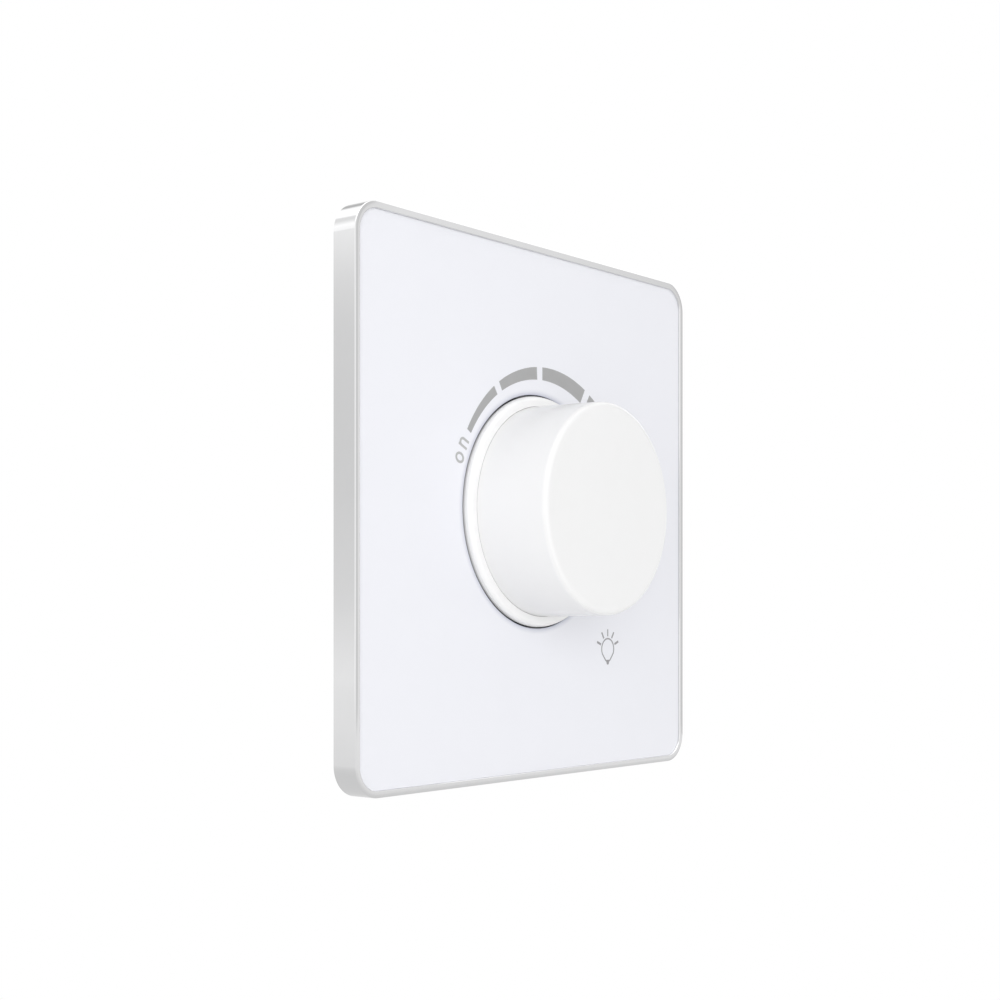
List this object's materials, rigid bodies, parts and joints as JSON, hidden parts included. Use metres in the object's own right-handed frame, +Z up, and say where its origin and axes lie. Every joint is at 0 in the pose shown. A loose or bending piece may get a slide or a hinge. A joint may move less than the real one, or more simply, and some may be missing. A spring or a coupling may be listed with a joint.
{
  "type": "rotary wall dimmer switch",
  "caption": "Square wall plate with a large plain rotary knob in a convex ring, a clockwise growing light scale and a housing for a wall box.",
  "frame": {"origin": "centre of the two mounting slots, on the wall plane", "axes": "+X to the right as seen from the front, +Y into the wall, +Z up"},
  "size_m": [0.086, 0.0471, 0.086],
  "materials": {
    "silver_plate": "satin bright plating on moulded plastic",
    "white_glass": "smooth flat panel, white behind a clear face",
    "carrier_plastic": "moulded, plain",
    "white_plastic": "moulded, semi gloss",
    "spring_steel": "plain rolled",
    "zinc_steel": "zinc plated",
    "housing_plastic": "moulded, fine spark texture",
    "brass_parts": "plain turned or pressed",
    "shaft_aluminium": "plain",
    "rotor_plastic": "moulded",
    "brown_board": "phenolic board",
    "tinned_parts": "tinned",
    "green_board": "solder mask",
    "black_moulding": "moulded epoxy",
    "grey_rubber": "thin insulating sheet",
    "core_powder": "coated iron powder",
    "copper_wire": "enamelled copper",
    "capacitor_yellow": "moulded box",
    "capacitor_red": "moulded box",
    "resistor_body": "lacquered",
    "diac_glass": "lacquered glass bead",
    "fuse_glass": "clear",
    "block_plastic": "moulded"
  },
  "bodies": {
    "base": {"frame_bezel": "silver_plate", "glass_panel": "white_glass", "panel_carrier": "carrier_plastic", "collar_ring": "white_plastic", "mounting_plate": "zinc_steel", "rear_housing": "housing_plastic", "housing_screws": "zinc_steel", "pot_body": "zinc_steel", "pot_bushing": "brass_parts", "pot_nut": "zinc_steel", "pot_washer": "zinc_steel", "pot_track_board": "brown_board", "pot_terminals": "tinned_parts", "pot_switch_can": "zinc_steel", "pot_switch_terminals": "tinned_parts", "circuit_board": "green_board", "heat_sink": "shaft_aluminium", "triac": "black_moulding", "triac_pad": "grey_rubber", "triac_screw": "zinc_steel", "triac_nut": "zinc_steel", "choke_core": "core_powder", "choke_winding": "copper_wire", "mains_capacitor": "capacitor_yellow", "film_capacitors": "capacitor_red", "resistors": "resistor_body", "diac": "diac_glass", "fuse_tube": "fuse_glass", "fuse_caps": "tinned_parts", "fuse_clips": "tinned_parts", "terminal_block": "block_plastic", "terminal_cages": "brass_parts", "terminal_screws": "zinc_steel"},
    "rotor": {"knob": "white_plastic", "knob_spring": "spring_steel", "pot_shaft": "shaft_aluminium", "pot_circlip": "spring_steel", "pot_rotor": "rotor_plastic", "pot_wiper": "brass_parts"}
  },
  "joints": [
    {"name": "knob_turn", "type": "hinge", "parent": "base", "child": "rotor", "pos_m": [0, -0.01, 0], "axis": [0, 1, 0], "range_deg": [0, 300]}
  ]
}
